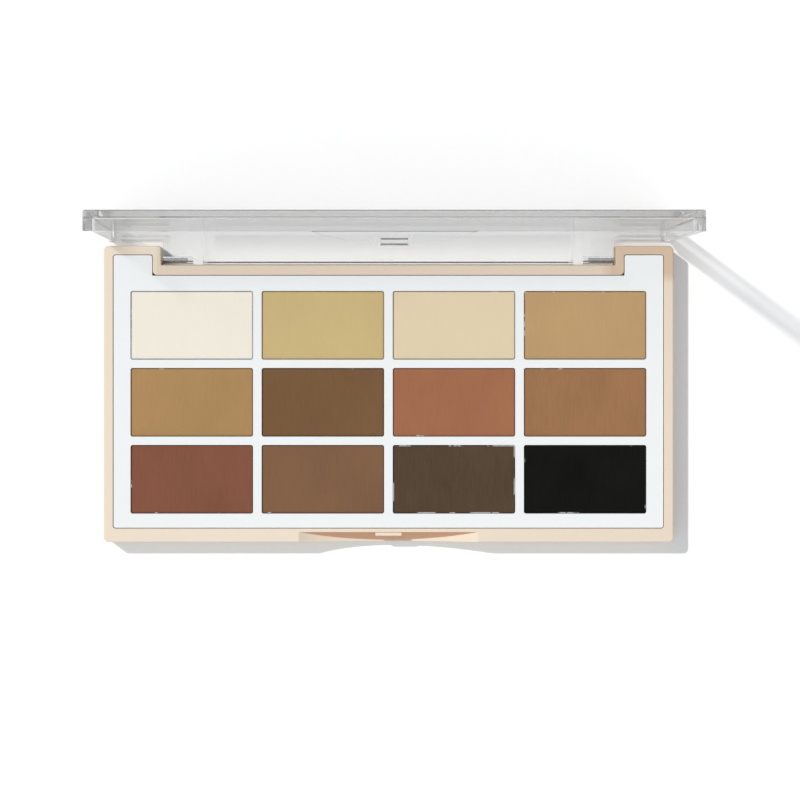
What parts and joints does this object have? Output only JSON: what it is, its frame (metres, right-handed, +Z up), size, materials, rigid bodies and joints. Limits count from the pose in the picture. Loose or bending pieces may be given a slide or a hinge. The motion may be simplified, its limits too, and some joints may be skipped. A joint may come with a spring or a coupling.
{
  "type": "eyeshadow palette",
  "caption": "Slim pressed-powder eyeshadow palette with a beige base, a white tray of rectangular pans and a clear lid hinged at the back.",
  "frame": {"origin": "centre of the flat face that the base rests on", "axes": "+X to the right along the length, +Y towards the hinge, +Z up; at rest the lid stands open at 90 degrees"},
  "size_m": [0.127, 0.0715, 0.0665],
  "materials": {
    "shell_plastic": "satin, warm beige",
    "tray_plastic": "fine matt, cool white",
    "clear_plastic": "polished, clear",
    "pin_steel": "drawn steel",
    "pan_metal": "bright stamped",
    "adhesive": "dull, milky",
    "powder_ivory": "pressed matt powder",
    "powder_pale_olive": "pressed matt powder",
    "powder_sand": "pressed matt powder",
    "powder_camel": "pressed matt powder",
    "powder_caramel": "pressed matt powder",
    "powder_cocoa": "pressed matt powder",
    "powder_sienna": "pressed matt powder",
    "powder_almond": "pressed matt powder",
    "powder_chestnut": "pressed matt powder",
    "powder_mocha": "pressed matt powder",
    "powder_espresso": "pressed matt powder",
    "powder_black": "pressed matt powder"
  },
  "bodies": {
    "base": {"base_shell": "shell_plastic", "inner_tray": "tray_plastic", "hinge_pin_left": "pin_steel", "hinge_pin_right": "pin_steel", "pan_ivory": "pan_metal", "powder_ivory": "powder_ivory", "adhesive_ivory": "adhesive", "pan_pale_olive": "pan_metal", "powder_pale_olive": "powder_pale_olive", "adhesive_pale_olive": "adhesive", "pan_sand": "pan_metal", "powder_sand": "powder_sand", "adhesive_sand": "adhesive", "pan_camel": "pan_metal", "powder_camel": "powder_camel", "adhesive_camel": "adhesive", "pan_caramel": "pan_metal", "powder_caramel": "powder_caramel", "adhesive_caramel": "adhesive", "pan_cocoa": "pan_metal", "powder_cocoa": "powder_cocoa", "adhesive_cocoa": "adhesive", "pan_sienna": "pan_metal", "powder_sienna": "powder_sienna", "adhesive_sienna": "adhesive", "pan_almond": "pan_metal", "powder_almond": "powder_almond", "adhesive_almond": "adhesive", "pan_chestnut": "pan_metal", "powder_chestnut": "powder_chestnut", "adhesive_chestnut": "adhesive", "pan_mocha": "pan_metal", "powder_mocha": "powder_mocha", "adhesive_mocha": "adhesive", "pan_espresso": "pan_metal", "powder_espresso": "powder_espresso", "adhesive_espresso": "adhesive", "pan_black": "pan_metal", "powder_black": "powder_black", "adhesive_black": "adhesive"},
    "lid": {"lid": "clear_plastic"}
  },
  "joints": [
    {"name": "lid_hinge", "type": "hinge", "parent": "base", "child": "lid", "pos_m": [0, 0.03, 0.0035], "axis": [1, 0, 0], "range_deg": [0, 90]}
  ]
}
